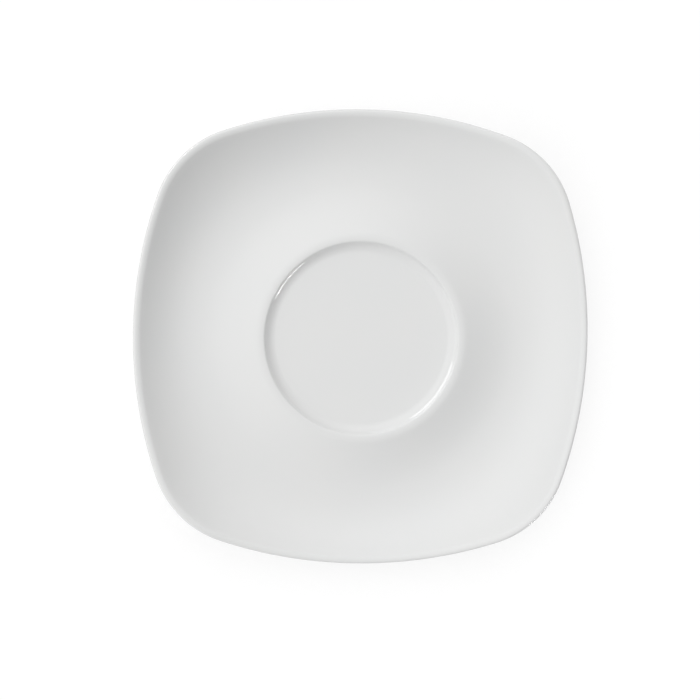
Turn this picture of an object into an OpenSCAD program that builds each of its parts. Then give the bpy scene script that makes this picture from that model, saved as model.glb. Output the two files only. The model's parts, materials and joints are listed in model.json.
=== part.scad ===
// Rounded-square saucer of white glazed porcelain, with a round well that a cup stands in.
// Sizes are millimetres. +Z is up, the sides face X and Y, and the origin is on the table,
// under the middle of the saucer.

/* [Outline] */
// Width across the middles of two opposite sides
saucer_w = 155; // [148:1:170]
// Radius of each slightly bulging side
side_r = 141; // [120:1:220]
// Radius of the rounded corners
corner_r = 36; // [28:1:45]

/* [Cup well] */
// Diameter of the flat floor that the cup stands on
well_floor_d = 58.6; // [54:0.2:62]
// Radius of the hollow curve that rises from the floor
well_wall_r = 4.75; // [3:0.05:6]
// Steepest angle of the well's wall
well_wall_angle = 50; // [40:1:65]
// Radius of the well's rounded edge
well_edge_r = 1; // [0.8:0.1:2]
// Radius of the broad crown from that edge over to the collar
well_crown_r = 7.5; // [5:0.1:9]

/* [Dish] */
// Height of the lowest ring of the dish above the table
trough_z = 6.4; // [5.8:0.1:8]
// Radius of that lowest ring
trough_r = 54; // [51:0.5:57]
// Fall of the collar for each millimetre, where it leaves the crest of the well
collar_slope = 0.3; // [0.15:0.01:0.4]
// Rise of the rim from that ring to the lip, at the middle of each side
rim_rise = 6.3; // [4.5:0.1:8]
// Power of the rim's curve: the higher it is, the later the rim steepens
rim_power = 2.4; // [2:0.1:3]
// Height of the corners of the lip above the middles of its sides
corner_lift = 3.9; // [0:0.1:6]

/* [Lip] */
// Distance from the outer edge to the start of the lip's rounding
lip_w = 2.8; // [2.5:0.1:4]
// Distance from the outer edge to the crest of the lip
lip_crest_w = 0.9; // [0.8:0.1:1.2]
// Height of the lip's crest above its outermost line
lip_edge_h = 1.1; // [1:0.05:1.4]

/* [Foot] */
// Diameter of the middle of the ring that the saucer stands on
foot_d = 87; // [80:1:90]
// Height of the foot ring's outer wall
foot_h = 2.5; // [2.2:0.1:3]
// Height of the recess inside the foot ring
recess_h = 3.8; // [3:0.1:4.2]
// Width of the flat face that the saucer stands on
foot_face_w = 2.2; // [1.6:0.1:2.8]
// Radius of the rounded edges of the standing face
foot_edge_r = 0.7; // [0.4:0.1:0.8]
// Lean of the foot ring's two walls
foot_draft = 8; // [2:1:12]
// Radius of the glaze in the corners beside the foot ring
foot_fillet_r = 1.1; // [0.8:0.1:1.2]

/* [Glaze] */
// Thickness of the glaze
glaze_t = 0.3; // [0.2:0.05:0.4]

/* [Hidden] */

// Directions round the saucer, which crowd together at the corners, and the steps of each curve
turns = 72;
corner_crowding = 5.7;
wall_steps = 5;
edge_turn_steps = 3;
crown_steps = 3;
collar_steps = 5;
rim_steps = 7;
lip_steps = 3;
edge_steps = 3;
under_steps = 5;
round_steps = 6;

// Outline of four side arcs and four corner arcs, tangent where they meet
half_w = saucer_w / 2;
side_off = side_r - half_w;
corner_c = (sqrt(2 * pow(side_r - corner_r, 2) - pow(side_off, 2)) - side_off) / 2;
join_turn = atan2(corner_c, corner_c + side_off);
join_angle = atan2(side_r * sin(join_turn), side_r * cos(join_turn) - side_off);
corner_growth = sqrt(2) * corner_c + corner_r - half_w;

// Well: the slope at which its edge passes into the crown, and the radii at which that happens
// and at which the crown is highest
crown_angle = 5;
well_edge_run = well_edge_r * (sin(well_wall_angle) - sin(crown_angle));
floor_r = well_floor_d / 2;
crown_start_r = floor_r + well_wall_r * sin(well_wall_angle) + well_edge_run;
crest_r = crown_start_r + well_crown_r * sin(crown_angle);

// Heights of the collar, the crown and the floor of the well, worked up from the dish
collar_angle = atan(collar_slope);
collar_r = crest_r + well_crown_r * sin(collar_angle);
collar_run = trough_r - collar_r;
crest_z = collar_point(0).y + well_crown_r * (1 - cos(collar_angle));
crown_start_z = crest_z - well_crown_r * (1 - cos(crown_angle));
wall_end_z = crown_start_z - well_edge_r * (cos(crown_angle) - cos(well_wall_angle));
floor_z = wall_end_z - well_wall_r * (1 - cos(well_wall_angle));

// Lip: angle at which the rim reaches it, radius of the rounding inside its crest,
// and the angle to which its edge turns under
rim_angle = atan(rim_power * rim_rise / (half_w - lip_w - trough_r));
lip_round_r = (lip_w - lip_crest_w) / sin(rim_angle);
lip_under_angle = 60;

// Underside: level to a little inside the trough, then rising to the lip
under_lead = 2;
under_flat_r = trough_r - under_lead;

// Pressed porcelain: its colour, and the points of the upper and of the lower skin, counted out from the
// trough and in from the lip, between which the rim is divided
porcelain = "#ECEAE4";
rim_break = 4;
under_break = 5;

// Foot ring: radius of its middle, and the heights between which the glaze grows to its thickness
foot_r = foot_d / 2;
bare_z = foot_edge_r;
full_glaze_z = bare_z + 2 * glaze_t;

// The glaze of the foot's outer wall overlaps that of the rim from this radius outwards
under_join_r = foot_r + foot_wall(foot_h) + foot_fillet_r + 2 * glaze_t;
under_join_lap = 0.6;

// The tool for the well leaves the crown at a small rising angle, just inside its highest ring, and the
// glaze reaches that ring at the same angle from outside, so that the two cross cleanly
tool_exit_angle = 4;
tool_exit_run = 3;
tool_h = 12;
tool_steps = 8;

function stretch(list, first, last) = [for (i = [first:last]) list[i]];
function tail(list) = stretch(list, 1, len(list) - 1);
function reversed(list) = [for (i = [len(list) - 1:-1:0]) list[i]];
function joined(lists) = [for (list = lists) for (item = list) item];

function direction(i) = let (u = 360 * i / turns) u + corner_crowding * sin(4 * u);

// Distance from the middle of the saucer to its outermost line, in direction a, and the lift there
function edge_r(a) =
    let (quarter = a - 90 * floor(a / 90), f = min(quarter, 90 - quarter))
    f < join_angle
        ? sqrt(pow(side_r, 2) - pow(side_off * sin(f), 2)) - side_off * cos(f)
        : corner_c * (cos(f) + sin(f)) + sqrt(pow(corner_r, 2) - pow(corner_c * (cos(f) - sin(f)), 2));

function lift(a) = corner_lift * (edge_r(a) - half_w) / corner_growth;

// The glazed surface is made of [radius, height, direction in which the surface faces] points.
// Well: a hollow wall that rises from the floor, then the rounded edge and the crown.
function well_wall(steps) =
    [for (i = [0:steps])
        let (t = well_wall_angle * i / steps)
        [floor_r + well_wall_r * sin(t), floor_z + well_wall_r * (1 - cos(t)), 90 + t]];

function well_edge(steps) =
    [for (i = [1:steps])
        let (t = well_wall_angle + (crown_angle - well_wall_angle) * i / steps)
        [crown_start_r - well_edge_r * (sin(t) - sin(crown_angle)),
         crown_start_z - well_edge_r * (cos(crown_angle) - cos(t)),
         90 + t]];

function well_crown(start_angle, end_angle, steps) =
    [for (i = [0:steps])
        let (t = start_angle + (end_angle - start_angle) * i / steps)
        [crest_r - well_crown_r * sin(t), crest_z - well_crown_r * (1 - cos(t)), 90 + t]];

// Collar: it falls away most steeply beside the well and levels out at share 1, which is the trough
function collar_point(share) =
    [collar_r + collar_run * share,
     trough_z + collar_slope * collar_run * (2 / 3 - share + pow(share, 3) / 3),
     90 - atan(collar_slope * (1 - pow(share, 2)))];

function collar_skin() = [for (i = [0:collar_steps]) collar_point(i / collar_steps)];

// Rim: it leaves the trough level and rises ever more steeply to the lip
function rim_point(a, share) =
    let (run = edge_r(a) - lip_w - trough_r, rise = rim_rise + lift(a))
    [trough_r + run * share,
     trough_z + rise * pow(share, rim_power),
     90 + atan(rim_power * rise * pow(share, rim_power - 1) / run)];

function rim_skin(a) = [for (i = [0:rim_steps]) rim_point(a, i / rim_steps)];

// Lip: it rounds over from the rim to its crest, then round an outer edge that is part of an ellipse
function lip_crest_z(a) = rim_point(a, 1).y + lip_round_r * (1 - cos(rim_angle));

function lip_skin(a) =
    [for (i = [1:lip_steps])
        let (t = rim_angle * (1 - i / lip_steps))
        [edge_r(a) - lip_crest_w - lip_round_r * sin(t),
         lip_crest_z(a) - lip_round_r * (1 - cos(t)),
         90 + t]];

function edge_point(a, t) =
    [edge_r(a) - lip_crest_w * (1 - cos(t)),
     lip_crest_z(a) - lip_edge_h * (1 - sin(t)),
     atan2(sin(t) / lip_edge_h, cos(t) / lip_crest_w)];

function edge_skin(a, t_start, t_end) =
    [for (i = [0:edge_steps]) edge_point(a, t_start + (t_end - t_start) * i / edge_steps)];

// Underside: from the lip in to the level ring beside the foot
function underside(a) =
    let (
        start = edge_point(a, -lip_under_angle),
        run = start.x - under_flat_r,
        rise = start.y - foot_h)
    [for (i = [1:under_steps])
        let (t = 1 - i / under_steps)
        [under_flat_r + run * t, foot_h + rise * t * t, atan(2 * rise * t / run) - 90]];

// The whole surface in direction a, above and below the lip's outermost line
function well_skin() =
    concat(
        well_wall(wall_steps),
        well_edge(edge_turn_steps),
        tail(well_crown(crown_angle, -collar_angle, crown_steps)));
function outer_skin(a) = concat(rim_skin(a), lip_skin(a), tail(edge_skin(a, 90, 0)));
function upper_skin(a) = concat(collar_skin(), tail(outer_skin(a)));
function lower_skin(a) = concat(edge_skin(a, 0, -lip_under_angle), underside(a));

// The surface at a depth under the skin, as [radius, height] points
function at_depth(skin, depth) = [for (p = skin) [p.x - depth * cos(p.z), p.y - depth * sin(p.z)]];

// Solid through one section for each direction round the axis. A ring's sections are closed loops,
// and any other solid is closed by a flat cap at the first and at the last point of its sections.
// Each facet between two sections is cut along its shorter diagonal, so neighbours meet face to face.
module loft(sections, is_ring) {
    count = len(sections[0]);
    points = [for (i = [0:turns - 1]) for (p = sections[i])
        [p.x * cos(direction(i)), p.x * sin(direction(i)), p.y]];
    walls = joined([for (i = [0:turns - 1]) for (j = [0:is_ring ? count - 1 : count - 2])
        let (
            k = (j + 1) % count,
            next = (i + 1) % turns,
            a = i * count + j,
            b = i * count + k,
            c = next * count + k,
            d = next * count + j)
        norm(points[a] - points[c]) < norm(points[b] - points[d])
            ? [[a, c, b], [a, d, c]]
            : [[a, d, b], [b, d, c]]]);
    caps = [
        [for (i = [turns - 1:-1:0]) i * count],
        [for (i = [0:turns - 1]) i * count + count - 1]];
    polyhedron(points, is_ring ? walls : concat(walls, caps), convexity = 6);
}

// Foot ring: half its bare width at height z
function foot_wall(z) = foot_face_w / 2 + foot_edge_r + (z - foot_edge_r) * tan(foot_draft);

// Glaze on one wall of the foot ring, from its thin lower end up and round the corner to the level
// surface at height level_z. The first number of each point is the distance from the middle of the ring.
function foot_skin(level_z) =
    let (
        corner_z = level_z - foot_fillet_r,
        corner_x = foot_wall(corner_z) + (glaze_t + foot_fillet_r) / cos(foot_draft))
    concat(
        [[foot_wall(bare_z), bare_z], [foot_wall(full_glaze_z) + glaze_t / cos(foot_draft), full_glaze_z]],
        [for (i = [0:round_steps])
            let (t = 180 - foot_draft - (90 - foot_draft) * i / round_steps)
            [corner_x + foot_fillet_r * cos(t), corner_z + foot_fillet_r * sin(t)]]);

// Glaze beside the foot ring, on its outer side (1) or its inner side (-1), as far as radius end_r
module foot_glaze(side, level_z, end_r) {
    top_z = level_z + glaze_t;
    skin = [for (p = foot_skin(level_z)) [foot_r + side * p.x, p.y]];
    back = [[end_r, level_z], [end_r, top_z], [foot_r + side * foot_wall(top_z), top_z]];
    rotate_extrude() polygon(concat(skin, back));
}

// Everything above the finished surface of the well
module well_tool() {
    skin = concat(
        well_wall(tool_steps),
        well_edge(tool_steps),
        tail(well_crown(crown_angle, tool_exit_angle, 1)));
    crest = skin[len(skin) - 1];
    exit = [crest.x + tool_exit_run, crest.y + tool_exit_run * tan(tool_exit_angle)];
    top_z = floor_z + tool_h;
    rotate_extrude()
    polygon(concat(
        [[0, floor_z]],
        [for (p = skin) [p.x, p.y]],
        [exit, [exit.x, top_z], [0, top_z]]));
}

// The room under the porcelain inside the foot ring, before it is glazed
module recess_tool() {
    top_z = recess_h + glaze_t;
    rotate_extrude()
    polygon([
        [0, foot_h],
        [foot_r - foot_wall(foot_h), foot_h],
        [foot_r - foot_wall(top_z), top_z],
        [0, top_z]]);
}

// The porcelain under the glaze is pressed as one piece. It is divided here where its form changes,
// into four simple forms, and the first is the level floor of the well.
module well_floor() {
    color(porcelain)
    loft([for (i = [0:turns - 1]) [[floor_r, floor_z - glaze_t], [floor_r, recess_h + glaze_t]]], false);
}

// Porcelain of the well's wall and of the collar, as far out as the trough
module collar() {
    base_z = foot_h + glaze_t;
    section = concat(
        at_depth(concat(well_skin(), tail(collar_skin())), glaze_t),
        [[under_flat_r, base_z], [floor_r, base_z]]);
    color(porcelain)
    difference() {
        loft([for (i = [0:turns - 1]) section], true);
        recess_tool();
    }
}

// Porcelain of the rim, from the trough to where it steepens
module lower_rim() {
    color(porcelain)
    loft([for (i = [0:turns - 1])
        let (a = direction(i), under = lower_skin(a))
        at_depth(
            concat(
                stretch(outer_skin(a), 0, rim_break),
                stretch(under, under_break, len(under) - 1)),
            glaze_t)], true);
}

// Porcelain of the steeper part of the rim, with the lip
module upper_rim() {
    color(porcelain)
    loft([for (i = [0:turns - 1])
        let (a = direction(i), over = outer_skin(a))
        at_depth(
            concat(
                stretch(over, rim_break, len(over) - 1),
                stretch(lower_skin(a), 1, under_break)),
            glaze_t)], true);
}

// Bare ring that the saucer stands on, its face ground flat
module foot_ring() {
    top_z = foot_h + glaze_t;
    wall = concat(
        [for (i = [0:round_steps])
            let (t = 90 * i / round_steps)
            [foot_face_w / 2 + foot_edge_r * sin(t), foot_edge_r * (1 - cos(t))]],
        [[foot_wall(top_z), top_z]]);
    color("#D9D4C8")
    rotate_extrude()
    polygon(concat(
        [for (p = wall) [foot_r + p.x, p.y]],
        [for (p = reversed(wall)) [foot_r - p.x, p.y]]));
}

// Glaze over the whole upper face, to the outermost line of the lip
module upper_glaze() {
    shoulder = well_crown(-tool_exit_angle, -collar_angle, crown_steps);
    start_z = shoulder[0].y + (shoulder[0].x - floor_r) * tan(tool_exit_angle);
    color("#F7F7F5")
    difference() {
        loft([for (i = [0:turns - 1])
            let (a = direction(i))
            concat(
                [[floor_r, start_z]],
                at_depth(concat(shoulder, tail(upper_skin(a))), 0),
                reversed(at_depth(concat(well_skin(), tail(upper_skin(a))), glaze_t)))], false);
        well_tool();
    }
}

// Glaze from the lip in under the rim and down the outer wall of the foot ring
module underside_glaze() {
    color("#F1F1EE")
    union() {
        loft([for (i = [0:turns - 1])
            let (a = direction(i), skin = concat(lower_skin(a), [[under_join_r, foot_h, -90]]))
            concat(at_depth(skin, 0), reversed(at_depth(skin, glaze_t)))], true);
        foot_glaze(1, foot_h, under_join_r + under_join_lap);
    }
}

// Glaze inside the foot ring
module recess_glaze() {
    color("#EDEDE9")
    foot_glaze(-1, recess_h, 0);
}

well_floor();
collar();
lower_rim();
upper_rim();
foot_ring();
upper_glaze();
underside_glaze();
recess_glaze();
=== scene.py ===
"""White porcelain saucer: its glaze, its bare foot and the studio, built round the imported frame."""

import json
import math

import bpy
from mathutils import Matrix, Vector


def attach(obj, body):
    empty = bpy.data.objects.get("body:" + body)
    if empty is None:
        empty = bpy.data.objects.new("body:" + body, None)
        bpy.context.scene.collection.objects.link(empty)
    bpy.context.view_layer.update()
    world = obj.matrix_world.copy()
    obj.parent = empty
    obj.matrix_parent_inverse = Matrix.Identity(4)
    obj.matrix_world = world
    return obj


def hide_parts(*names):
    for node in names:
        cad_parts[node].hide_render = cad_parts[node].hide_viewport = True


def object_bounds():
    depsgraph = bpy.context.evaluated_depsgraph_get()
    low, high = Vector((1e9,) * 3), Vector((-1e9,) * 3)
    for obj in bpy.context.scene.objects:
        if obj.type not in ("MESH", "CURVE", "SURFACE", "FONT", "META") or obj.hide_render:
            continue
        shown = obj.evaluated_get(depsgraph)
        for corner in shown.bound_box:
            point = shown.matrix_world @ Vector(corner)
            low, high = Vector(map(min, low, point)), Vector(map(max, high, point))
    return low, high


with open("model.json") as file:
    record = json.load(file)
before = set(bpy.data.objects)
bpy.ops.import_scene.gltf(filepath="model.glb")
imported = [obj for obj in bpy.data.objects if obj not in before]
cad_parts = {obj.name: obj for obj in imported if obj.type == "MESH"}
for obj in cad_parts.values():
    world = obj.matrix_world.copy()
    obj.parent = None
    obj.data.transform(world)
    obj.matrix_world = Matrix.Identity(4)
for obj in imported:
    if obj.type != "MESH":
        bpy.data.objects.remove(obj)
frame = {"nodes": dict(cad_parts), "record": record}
cad_low, cad_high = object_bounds()

# Sizes that the frame gives. Every size in this script is in millimetres, and MM makes it metres.
MM = 0.001
mounts = {mount["name"]: mount["pos_m"] for mount in frame["record"]["mounts"]}
half_w = cad_high.x / MM
floor_z = mounts["cup_seat"][2] / MM
foot_r = mounts["standing_face"][0] / MM

# Outline: four slightly bulging sides and four rounded corners
SIDE_R = 141
CORNER_R = 36

# Cup well: flat floor, hollow wall, rounded edge, and a broad crown from there over to the collar
FLOOR_R = 29.3
WALL_R = 4.75
WALL_ANGLE = 50
WELL_EDGE_R = 1
CROWN_R = 7.5
CROWN_ANGLE = 5

# Dish: the collar falls away from the well and levels out at the trough, and the rim rises from there,
# ever more steeply, and higher at the corners
TROUGH_R = 54
TROUGH_Z = 6.4
COLLAR_SLOPE = 0.3
RIM_RISE = 6.3
RIM_POWER = 2.4
CORNER_LIFT = 3.9

# Lip: where its rounding starts, where its crest is, how far the crest is above the outermost line,
# and the angle to which its edge turns under
LIP_W = 2.8
LIP_CREST_W = 0.9
LIP_EDGE_H = 1.1
LIP_UNDER_ANGLE = 60

# Underside and foot ring
UNDER_FLAT_R = 52
UNDER_POWER = 2
FOOT_H = 2.5
RECESS_H = 3.8
FOOT_FACE_W = 2.2
FOOT_EDGE_R = 0.7
FOOT_DRAFT = math.radians(8)
FOOT_FILLET_R = 1.1

# Glaze: its thickness, and the height over which it thins out above the bare face of the foot
GLAZE_T = 0.3
GLAZE_TAPER_H = 2 * GLAZE_T

# Mesh: steps round the axis and along each stretch of a section, the distance at which points become one,
# and the angle from which an edge looks sharp
TURNS = 320
FLOOR_STEPS = 4
WALL_STEPS = 16
WELL_EDGE_STEPS = 10
CROWN_STEPS = 8
COLLAR_STEPS = 12
RIM_STEPS = 20
LIP_STEPS = 8
LIP_EDGE_STEPS = 14
LIP_UNDER_STEPS = 10
UNDER_STEPS = 18
UNDER_FLAT_STEPS = 2
RECESS_STEPS = 5
FOOT_ROUND_STEPS = 8
FOOT_WALL_STEPS = 3
FOOT_GLAZE_STEPS = 2
MERGE_DISTANCE = 0.001
SHARP_ANGLE = math.radians(35)

# Both kinds of fired porcelain bend light about as glass does
PORCELAIN_IOR = 1.5

# Glazed porcelain: its two whites, the width of their clouds and of the patches of gloss, the range of
# roughness, and the width and height of the glaze's waves
GLAZE_WHITE = "#E6E6E5"
GLAZE_COOL_WHITE = "#E3E4E4"
GLAZE_CLOUD_W = 24
GLAZE_GLOSS_W = 11
GLAZE_ROUGHNESS = (0.05, 0.1)
GLAZE_WAVE_W = 5
GLAZE_WAVE_H = 0.002

# Bare porcelain: the dark and the light of its grain, the grey of its rubbed patches, the widths of both,
# the levels of noise between which a patch fades in, how grey it gets, and the roughness
BARE_DARK = "#D3CEC4"
BARE_LIGHT = "#E3DFD6"
BARE_RUBBED = "#B9B4AB"
BARE_GRAIN_W = 0.5
BARE_PATCH_W = 8
BARE_PATCH_RANGE = (0.5, 0.75)
BARE_PATCH_GREY = 0.45
BARE_ROUGHNESS = 0.7

# Grinding rings of the foot: the wave texture draws one every 0.8 mm at this width. Next their unevenness,
# their height as a share of the grain's, and the height and strength of the bump that both make
GRINDING_W = 2.5
GRINDING_WOBBLE = 1.2
GRINDING_SHARE = 0.5
BARE_BUMP_H = 0.03
BARE_BUMP_STRENGTH = 0.5

# Camera: where the photograph has the middle and the width of the saucer, in pixels, and how it looks down
PHOTO_SIZE = 700
PHOTO_CENTRE = (361.7, 339.1)
PHOTO_WIDTH = 455.0
LENS = 68
SENSOR = 36
LEAN = math.radians(4.7)
LEAN_AZIMUTH = math.radians(119)
ROLL = math.radians(0.93)

# Light tent: the middle of each soft panel, round the axis and from straight up in degrees, its strength,
# and the power with which its light falls off from the middle
PANELS = ((100, 45, 1.37), (185, 20, 0.6), (232, 65, 1.25), (52, 65, 0.41))
PANEL_FALLOFF = 3.0

# The tent's white horizon ends softly between these heights of a ray
HORIZON_LOW = 0.1
HORIZON_HIGH = 0.3

# Low strips of light: name, the angles as for a panel, distance from the well, width and height, and watts
STRIPS = (
    ("upper_left_strip", 146, 72.5, 600, (485, 220), 1.34),
    ("wide_upper_left_strip", 155, 72, 350, (1200, 170), 0.64),
    ("lower_right_strip", 321, 79.5, 600, (245, 50), 1.0),
)

# Paper floor: its width, its colour as it lights the object and as it is looked at, and the glow that then
# brings it up to white
PAPER_W = 4000
PAPER_LIT = "#F0F0F0"
PAPER_SHOWN = "#959595"
PAPER_GLOW = 0.74

# Outline, worked out: how far each side's centre lies beyond the axis, the place of each corner's centre
# along X and Y, the angle at which side and corner meet, seen from the side's centre and from the axis,
# and how much further out the corners are than the sides
side_off = SIDE_R - half_w
corner_c = (math.sqrt(2 * (SIDE_R - CORNER_R) ** 2 - side_off**2) - side_off) / 2
join_turn = math.atan2(corner_c, corner_c + side_off)
join_angle = math.atan2(SIDE_R * math.sin(join_turn), SIDE_R * math.cos(join_turn) - side_off)
corner_growth = math.sqrt(2) * corner_c + CORNER_R - half_w

# Dish and lip, worked out: the steepest slopes of collar and rim, the rounding inside the lip's crest,
# the centre of its outer edge, and the radius at which that edge has turned under
collar_angle = math.degrees(math.atan(COLLAR_SLOPE))
rim_r = half_w - LIP_W
rim_angle = math.degrees(math.atan(RIM_POWER * RIM_RISE / (rim_r - TROUGH_R)))
lip_round_r = (LIP_W - LIP_CREST_W) / math.sin(math.radians(rim_angle))
lip_z = TROUGH_Z + RIM_RISE + lip_round_r * (1 - math.cos(math.radians(rim_angle)))
lip_round_centre = (half_w - LIP_CREST_W, lip_z - lip_round_r)
edge_centre = (half_w - LIP_CREST_W, lip_z - LIP_EDGE_H)
under_edge_r = half_w - LIP_CREST_W * (1 - math.cos(math.radians(LIP_UNDER_ANGLE)))


def edge_radius(angle):
    """Distance from the axis to the saucer's outermost line, in that direction."""
    quarter = angle % (math.pi / 2)
    fold = min(quarter, math.pi / 2 - quarter)
    across, along = math.cos(fold), math.sin(fold)
    if fold < join_angle:
        return math.sqrt(SIDE_R**2 - (side_off * along) ** 2) - side_off * across
    return corner_c * (across + along) + math.sqrt(CORNER_R**2 - (corner_c * (across - along)) ** 2)


def even_shares(steps):
    """Shares of a stretch, from one step after its start to its end."""
    return [step / steps for step in range(1, steps + 1)]


def line(start, end, steps):
    """Points after the start of a straight line."""
    return [tuple(a + (b - a) * share for a, b in zip(start, end)) for share in even_shares(steps)]


def arc(centre, radii, start, end, steps):
    """Points after the first one of an arc, with its two radii, between two angles in degrees."""
    turns = [math.radians(start + (end - start) * share) for share in even_shares(steps)]
    across, up = radii
    return [(centre[0] + across * math.cos(turn), centre[1] + up * math.sin(turn)) for turn in turns]


def bend(start, radius, slope, end_slope, steps):
    """Points after the start of an arc whose slope turns from one angle to another, in degrees."""
    side = 1 if end_slope > slope else -1
    turn = math.radians(slope)
    centre = (start[0] - side * radius * math.sin(turn), start[1] + side * radius * math.cos(turn))
    return arc(centre, (radius, radius), slope - side * 90, end_slope - side * 90, steps)


def rising(start, end, power, steps):
    """Points after the start of a curve that leaves it level and steepens as far as its end."""
    run, rise = end[0] - start[0], end[1] - start[1]
    return [(start[0] + run * share, start[1] + rise * share**power) for share in even_shares(steps)]


def collar(start, steps):
    """Points after the start of the collar, whose slope eases off with the square of the way, to level."""
    run = TROUGH_R - start[0]
    falls = [(share, 2 / 3 - share + share**3 / 3) for share in even_shares(steps)]
    return [(start[0] + run * share, TROUGH_Z + COLLAR_SLOPE * run * fall) for share, fall in falls]


def upper_section():
    """From the middle of the well to the outermost line of the lip."""
    points = [(0, floor_z)] + line((0, floor_z), (FLOOR_R, floor_z), FLOOR_STEPS)
    points += bend(points[-1], WALL_R, 0, WALL_ANGLE, WALL_STEPS)
    points += bend(points[-1], WELL_EDGE_R, WALL_ANGLE, CROWN_ANGLE, WELL_EDGE_STEPS)
    points += bend(points[-1], CROWN_R, CROWN_ANGLE, -collar_angle, CROWN_STEPS)
    points += collar(points[-1], COLLAR_STEPS)
    points += rising(points[-1], (rim_r, TROUGH_Z + RIM_RISE), RIM_POWER, RIM_STEPS)
    points += arc(lip_round_centre, (lip_round_r,) * 2, 90 + rim_angle, 90, LIP_STEPS)
    return points + arc(edge_centre, (LIP_CREST_W, LIP_EDGE_H), 90, 0, LIP_EDGE_STEPS)


def foot_wall(z):
    """Half the width of the bare foot ring at height z."""
    return FOOT_FACE_W / 2 + FOOT_EDGE_R + (z - FOOT_EDGE_R) * math.tan(FOOT_DRAFT)


def foot_glaze_section(side, level_z):
    """From the level surface, round the corner and down the foot ring's outer (1) or inner (-1) wall."""
    corner_z = level_z - FOOT_FILLET_R
    corner_x = foot_wall(corner_z) + (GLAZE_T + FOOT_FILLET_R) / math.cos(FOOT_DRAFT)
    wall_angle = 180 - math.degrees(FOOT_DRAFT)
    full_z = FOOT_EDGE_R + GLAZE_TAPER_H
    full = (foot_wall(full_z) + GLAZE_T / math.cos(FOOT_DRAFT), full_z)
    bare_edge = (foot_wall(FOOT_EDGE_R), FOOT_EDGE_R)
    points = [(corner_x, level_z)]
    points += arc((corner_x, corner_z), (FOOT_FILLET_R,) * 2, 90, wall_angle, FOOT_ROUND_STEPS)
    points += line(points[-1], full, FOOT_GLAZE_STEPS) + line(full, bare_edge, FOOT_GLAZE_STEPS)
    return [(foot_r + side * x, z) for x, z in points]


def underside_section():
    """From the outermost line of the lip, in under the rim and down the foot ring's outer wall."""
    points = [(half_w, edge_centre[1])]
    points += arc(edge_centre, (LIP_CREST_W, LIP_EDGE_H), 0, -LIP_UNDER_ANGLE, LIP_UNDER_STEPS)
    level = (UNDER_FLAT_R, FOOT_H)
    points += rising(level, points[-1], UNDER_POWER, UNDER_STEPS)[-2::-1] + [level]
    foot = foot_glaze_section(1, FOOT_H)
    return points + line(level, foot[0], UNDER_FLAT_STEPS) + foot[1:]


def recess_section():
    """From the bare face up the foot ring's inner wall and across to the axis."""
    foot = foot_glaze_section(-1, RECESS_H)[::-1]
    return foot + line(foot[-1], (0, RECESS_H), RECESS_STEPS)


def foot_section():
    """Round the bare foot ring, back to the first point."""
    top_z = FOOT_H + GLAZE_T
    edge_x = FOOT_FACE_W / 2
    half = [(edge_x, 0)]
    half += arc((edge_x, FOOT_EDGE_R), (FOOT_EDGE_R,) * 2, -90, 0, FOOT_ROUND_STEPS)
    half += line(half[-1], (foot_wall(top_z), top_z), FOOT_WALL_STEPS)
    outer = [(foot_r + x, z) for x, z in half]
    inner = [(foot_r - x, z) for x, z in half[::-1]]
    return outer + inner + outer[:1]


def turned(name, section):
    """A piece turned from its section: the points are extruded in a row, then spun round the axis."""
    bpy.ops.object.select_all(action="DESELECT")
    bpy.ops.mesh.primitive_plane_add(size=MM)
    piece = bpy.context.object
    piece.name = name
    bpy.ops.object.mode_set(mode="EDIT")
    bpy.ops.mesh.merge(type="CENTER")
    here = Vector((section[0][0] * MM, 0, section[0][1] * MM))
    bpy.ops.transform.translate(value=here)
    for r, z in section[1:]:
        there = Vector((r * MM, 0, z * MM))
        bpy.ops.mesh.extrude_vertices_move(TRANSFORM_OT_translate={"value": there - here})
        here = there
    bpy.ops.mesh.select_all(action="SELECT")
    bpy.ops.mesh.spin(steps=TURNS, angle=math.tau, center=(0, 0, 0), axis=(0, 0, 1))
    bpy.ops.mesh.select_all(action="SELECT")
    bpy.ops.mesh.remove_doubles(threshold=MERGE_DISTANCE * MM)
    bpy.ops.mesh.normals_make_consistent(inside=False)
    bpy.ops.object.mode_set(mode="OBJECT")
    return piece


def press_square(piece, inner_r, outer_r, power):
    """Pushes the round piece out to the rounded square: not at all inside inner_r, and fully from outer_r.
    What moves out is also lifted, most of all at the corners, along a curve of that power."""
    for vertex in piece.data.vertices:
        x, y, z = vertex.co / MM
        r = math.hypot(x, y)
        if r <= inner_r:
            continue
        share = min(1, (r - inner_r) / (outer_r - inner_r))
        growth = edge_radius(math.atan2(y, x)) - half_w
        scale = 1 + share * growth / r
        lift = share**power * CORNER_LIFT * growth / corner_growth
        vertex.co = Vector((x * scale, y * scale, z + lift)) * MM
    piece.data.update()


def face(piece, way):
    """Turns the faces of an open skin to look up (1) or down (-1)."""
    if way * sum(polygon.normal.z * polygon.area for polygon in piece.data.polygons) < 0:
        piece.data.flip_normals()


def thicken(piece):
    """Gives a skin the thickness of the glaze, inwards."""
    wall = piece.modifiers.new("glaze thickness", "SOLIDIFY")
    wall.thickness = GLAZE_T * MM
    wall.offset = -1
    wall.use_even_offset = True
    bpy.context.view_layer.objects.active = piece
    bpy.ops.object.modifier_apply(modifier=wall.name)


def finish_piece(piece, material, node):
    """Smooth shading, the material, and the piece's place in the frame."""
    bpy.ops.object.select_all(action="DESELECT")
    piece.select_set(True)
    bpy.context.view_layer.objects.active = piece
    bpy.ops.object.shade_smooth_by_angle(angle=SHARP_ANGLE)
    piece.data.materials.append(material)
    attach(piece, "root")
    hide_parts(node)


def make_upper_face(glaze):
    """Glaze over the well, the collar and the rim, square from the trough outwards."""
    upper = turned("glazed_upper_face", upper_section())
    face(upper, 1)
    press_square(upper, TROUGH_R, rim_r, RIM_POWER)
    thicken(upper)
    finish_piece(upper, glaze, "upper_glaze")


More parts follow.
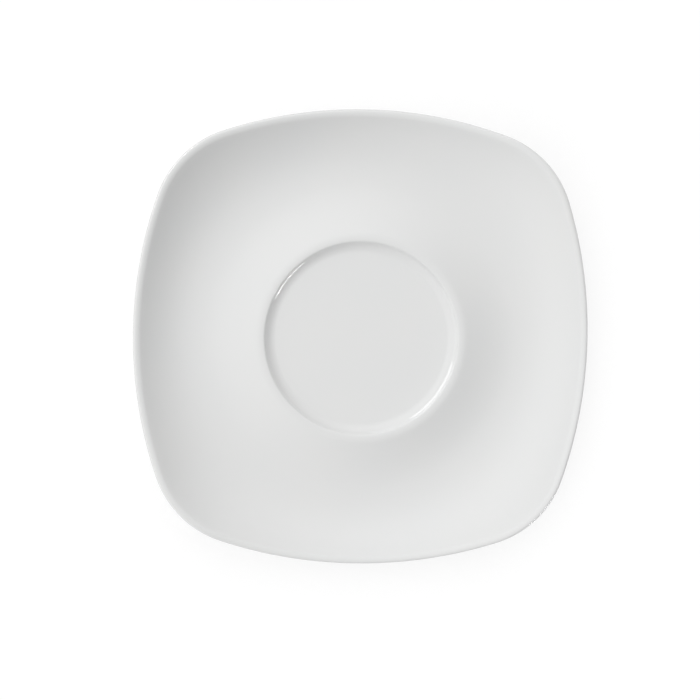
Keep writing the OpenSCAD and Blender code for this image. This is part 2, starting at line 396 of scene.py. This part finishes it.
def make_underside(glaze):
    """Glaze under the rim and on the foot ring's outer wall."""
    under = turned("glazed_underside", underside_section())
    face(under, -1)
    press_square(under, UNDER_FLAT_R, under_edge_r, UNDER_POWER)
    thicken(under)
    finish_piece(under, glaze, "underside_glaze")


def make_recess(glaze):
    """Glaze inside the foot ring."""
    recess = turned("glazed_recess", recess_section())
    face(recess, -1)
    thicken(recess)
    finish_piece(recess, glaze, "recess_glaze")


def make_foot(bare):
    """The bare ring that the saucer stands on."""
    foot = turned("bare_foot_ring", foot_section())
    finish_piece(foot, bare, "foot_ring")


def finish_porcelain(bare):
    """The pressed porcelain under the glaze keeps its form, and looks like the foot."""
    for form in ("well_floor", "collar", "lower_rim", "upper_rim"):
        porcelain = frame["nodes"][form]
        porcelain.data.materials.clear()
        porcelain.data.materials.append(bare)


def linear(hex_colour):
    """An sRGB hex value as linear red, green, blue and alpha."""
    values = [int(hex_colour[i:i + 2], 16) / 255 for i in (1, 3, 5)]
    return [v / 12.92 if v <= 0.04045 else ((v + 0.055) / 1.055) ** 2.4 for v in values] + [1]


def add_node(tree, kind, inputs=None, **settings):
    """Adds a node with its settings. Each input is a value, or a socket to link from."""
    made = tree.nodes.new(kind)
    for name, value in settings.items():
        setattr(made, name, value)
    for name, value in (inputs or {}).items():
        if isinstance(value, bpy.types.NodeSocket):
            tree.links.new(value, made.inputs[name])
        else:
            made.inputs[name].default_value = value
    return made


def new_material(name):
    """An empty material and its node tree."""
    material = bpy.data.materials.new(name)
    material.use_nodes = True
    material.node_tree.nodes.clear()
    return material, material.node_tree


def glazed_porcelain():
    """Hard porcelain under a clear fired glaze. It looks an even neutral white with a glassy gloss. The
    glaze keeps a faint waviness from the kiln, its gloss varies a little, and its white turns slightly
    cooler in faint clouds."""
    material, tree = new_material("glazed_porcelain")
    place = add_node(tree, "ShaderNodeTexCoord").outputs["Object"]
    cloud = add_node(tree, "ShaderNodeTexNoise", {
        "Vector": place, "Scale": 1 / (GLAZE_CLOUD_W * MM), "Detail": 3.0})
    tone = add_node(tree, "ShaderNodeMix", {
        "Factor": cloud.outputs["Fac"],
        "A": linear(GLAZE_WHITE), "B": linear(GLAZE_COOL_WHITE)}, data_type="RGBA")
    gloss = add_node(tree, "ShaderNodeTexNoise", {
        "Vector": place, "Scale": 1 / (GLAZE_GLOSS_W * MM), "Detail": 4.0})
    rough = add_node(tree, "ShaderNodeMapRange", {
        "Value": gloss.outputs["Fac"], "To Min": GLAZE_ROUGHNESS[0], "To Max": GLAZE_ROUGHNESS[1]})
    wave = add_node(tree, "ShaderNodeTexNoise", {
        "Vector": place, "Scale": 1 / (GLAZE_WAVE_W * MM), "Detail": 1.0})
    bump = add_node(tree, "ShaderNodeBump", {
        "Height": wave.outputs["Fac"], "Distance": GLAZE_WAVE_H * MM})
    shader = add_node(tree, "ShaderNodeBsdfPrincipled", {
        "Base Color": tone.outputs["Result"], "Roughness": rough.outputs["Result"],
        "IOR": PORCELAIN_IOR, "Normal": bump.outputs["Normal"]})
    add_node(tree, "ShaderNodeOutputMaterial", {"Surface": shader.outputs["BSDF"]})
    return material


def bare_porcelain():
    """Unglazed fired porcelain, ground flat where it stands. It is matte, a little warmer and darker than
    the glaze, with a fine sandy grain and faint rings from the grinding, and it is grey where tables have
    rubbed it."""
    material, tree = new_material("bare_porcelain")
    place = add_node(tree, "ShaderNodeTexCoord").outputs["Object"]
    grain = add_node(tree, "ShaderNodeTexNoise", {
        "Vector": place, "Scale": 1 / (BARE_GRAIN_W * MM), "Detail": 4.0})
    tint = add_node(tree, "ShaderNodeMix", {
        "Factor": grain.outputs["Fac"],
        "A": linear(BARE_DARK), "B": linear(BARE_LIGHT)}, data_type="RGBA")
    rubbed = add_node(tree, "ShaderNodeTexNoise", {
        "Vector": place, "Scale": 1 / (BARE_PATCH_W * MM), "Detail": 5.0})
    patch = add_node(tree, "ShaderNodeMapRange", {
        "Value": rubbed.outputs["Fac"],
        "From Min": BARE_PATCH_RANGE[0], "From Max": BARE_PATCH_RANGE[1], "To Max": BARE_PATCH_GREY})
    worn = add_node(tree, "ShaderNodeMix", {
        "Factor": patch.outputs["Result"],
        "A": tint.outputs["Result"], "B": linear(BARE_RUBBED)}, data_type="RGBA")
    rings = add_node(tree, "ShaderNodeTexWave", {
        "Vector": place, "Scale": 1 / (GRINDING_W * MM), "Distortion": GRINDING_WOBBLE,
        "Detail": 3.0, "Detail Scale": 2.0}, wave_type="RINGS", rings_direction="Z")
    height = add_node(tree, "ShaderNodeMath", {
        0: rings.outputs["Fac"], 1: GRINDING_SHARE, 2: grain.outputs["Fac"]}, operation="MULTIPLY_ADD")
    bump = add_node(tree, "ShaderNodeBump", {
        "Height": height.outputs[0], "Strength": BARE_BUMP_STRENGTH, "Distance": BARE_BUMP_H * MM})
    shader = add_node(tree, "ShaderNodeBsdfPrincipled", {
        "Base Color": worn.outputs["Result"], "Roughness": BARE_ROUGHNESS,
        "IOR": PORCELAIN_IOR, "Normal": bump.outputs["Normal"]})
    add_node(tree, "ShaderNodeOutputMaterial", {"Surface": shader.outputs["BSDF"]})
    return material


def direction(azimuth, off_vertical):
    """Unit vector at an angle round the axis and an angle from straight up."""
    level = math.sin(off_vertical)
    return Vector((level * math.cos(azimuth), level * math.sin(azimuth), math.cos(off_vertical)))


def make_camera():
    """Above the saucer, with its outline where the photograph has it."""
    pixel = 2 * half_w / PHOTO_WIDTH
    distance = LENS / SENSOR * PHOTO_SIZE * pixel
    target = Vector((0, 0, edge_centre[1]))
    towards = direction(LEAN_AZIMUTH, LEAN)
    up = (Vector((0, 1, 0)) - towards * towards.y).normalized()
    up.rotate(Matrix.Rotation(ROLL, 3, towards))
    right = up.cross(towards)
    left_shift = (PHOTO_CENTRE[0] - PHOTO_SIZE / 2) * pixel
    down_shift = (PHOTO_SIZE / 2 - PHOTO_CENTRE[1]) * pixel
    place = target + towards * distance - right * left_shift - up * down_shift
    turn = Matrix((right, up, towards)).transposed().to_4x4()
    camera = bpy.data.objects.new("camera", bpy.data.cameras.new("camera"))
    camera.data.lens = LENS
    camera.data.sensor_width = SENSOR
    camera.matrix_world = Matrix.Translation(place * MM) @ turn
    bpy.context.collection.objects.link(camera)
    bpy.context.scene.camera = camera


def seen_directly(tree):
    """1 for what the camera sees, also mirrored or through glass, and 0 for light that falls on a thing."""
    path = add_node(tree, "ShaderNodeLightPath")
    either = add_node(tree, "ShaderNodeMath", {
        0: path.outputs["Is Camera Ray"], 1: path.outputs["Is Glossy Ray"]}, operation="MAXIMUM")
    return add_node(tree, "ShaderNodeMath", {
        0: either.outputs[0], 1: path.outputs["Is Transmission Ray"]}, operation="MAXIMUM").outputs[0]


def panel_light(tree, ray, azimuth, off_vertical, strength, other_light):
    """Adds the soft glow of one panel of the tent to the light of the others."""
    middle = direction(math.radians(azimuth), math.radians(off_vertical))
    along = add_node(tree, "ShaderNodeVectorMath", {0: ray, 1: middle}, operation="DOT_PRODUCT")
    facing = add_node(tree, "ShaderNodeMath", {0: along.outputs["Value"], 1: 0.0}, operation="MAXIMUM")
    soft = add_node(tree, "ShaderNodeMath", {0: facing.outputs[0], 1: PANEL_FALLOFF}, operation="POWER")
    return add_node(tree, "ShaderNodeMath", {
        0: soft.outputs[0], 1: strength, 2: other_light}, operation="MULTIPLY_ADD").outputs[0]


def make_world():
    """A light tent. Its soft panels light the object from above, and its horizon looks plain white."""
    world = bpy.data.worlds.new("light_tent")
    world.use_nodes = True
    tree = world.node_tree
    tree.nodes.clear()
    bpy.context.scene.world = world
    ray = add_node(tree, "ShaderNodeTexCoord").outputs["Generated"]
    level = 0.0
    for azimuth, off_vertical, strength in PANELS:
        level = panel_light(tree, ray, azimuth, off_vertical, strength, level)
    light = add_node(tree, "ShaderNodeBackground", {"Color": (1, 1, 1, 1), "Strength": level})
    white = add_node(tree, "ShaderNodeBackground", {"Color": (1, 1, 1, 1), "Strength": 1.0})
    height = add_node(tree, "ShaderNodeSeparateXYZ", {"Vector": ray}).outputs["Z"]
    horizon = add_node(tree, "ShaderNodeMapRange", {
        "Value": height, "From Min": HORIZON_LOW, "From Max": HORIZON_HIGH,
        "To Min": 1.0, "To Max": 0.0})
    shown = add_node(tree, "ShaderNodeMath", {
        0: seen_directly(tree), 1: horizon.outputs["Result"]}, operation="MULTIPLY")
    both = add_node(tree, "ShaderNodeMixShader", {
        0: shown.outputs[0], 1: light.outputs[0], 2: white.outputs[0]})
    add_node(tree, "ShaderNodeOutputWorld", {"Surface": both.outputs[0]})


def make_strip(name, azimuth, off_vertical, distance, size, watts):
    """A low lamp that faces the well. It only shows mirrored in the glaze, and gives the bright lines that
    the photograph has along the wall of the well."""
    lamp = bpy.data.lights.new(name, "AREA")
    lamp.shape = "RECTANGLE"
    lamp.size, lamp.size_y = [length * MM for length in size]
    lamp.energy = watts
    strip = bpy.data.objects.new(name, lamp)
    strip.visible_camera = False
    strip.visible_diffuse = False
    back = direction(math.radians(azimuth), math.radians(off_vertical))
    level = Vector((0, 0, 1)).cross(back).normalized()
    turn = Matrix((level, back.cross(level), back)).transposed().to_4x4()
    place = Vector((0, 0, floor_z)) + back * distance
    strip.matrix_world = Matrix.Translation(place * MM) @ turn
    bpy.context.collection.objects.link(strip)


def make_floor():
    """White paper under the saucer. It looks white, and keeps a faint shadow."""
    bpy.ops.object.select_all(action="DESELECT")
    bpy.ops.mesh.primitive_plane_add(size=PAPER_W * MM)
    floor = bpy.context.object
    floor.name = "floor"
    material, tree = new_material("white_paper")
    seen = seen_directly(tree)
    shade = add_node(tree, "ShaderNodeMix", {
        "Factor": seen, "A": linear(PAPER_LIT), "B": linear(PAPER_SHOWN)}, data_type="RGBA")
    paper = add_node(tree, "ShaderNodeBsdfDiffuse", {"Color": shade.outputs["Result"]})
    strength = add_node(tree, "ShaderNodeMath", {0: seen, 1: PAPER_GLOW}, operation="MULTIPLY")
    glow = add_node(tree, "ShaderNodeEmission", {"Strength": strength.outputs[0]})
    both = add_node(tree, "ShaderNodeAddShader", {0: paper.outputs[0], 1: glow.outputs[0]})
    add_node(tree, "ShaderNodeOutputMaterial", {"Surface": both.outputs[0]})
    floor.data.materials.append(material)


glaze = glazed_porcelain()
bare = bare_porcelain()
make_upper_face(glaze)
make_underside(glaze)
make_recess(glaze)
make_foot(bare)
finish_porcelain(bare)

make_floor()
make_world()
for strip_values in STRIPS:
    make_strip(*strip_values)
make_camera()
bpy.context.scene.view_settings.view_transform = "Standard"
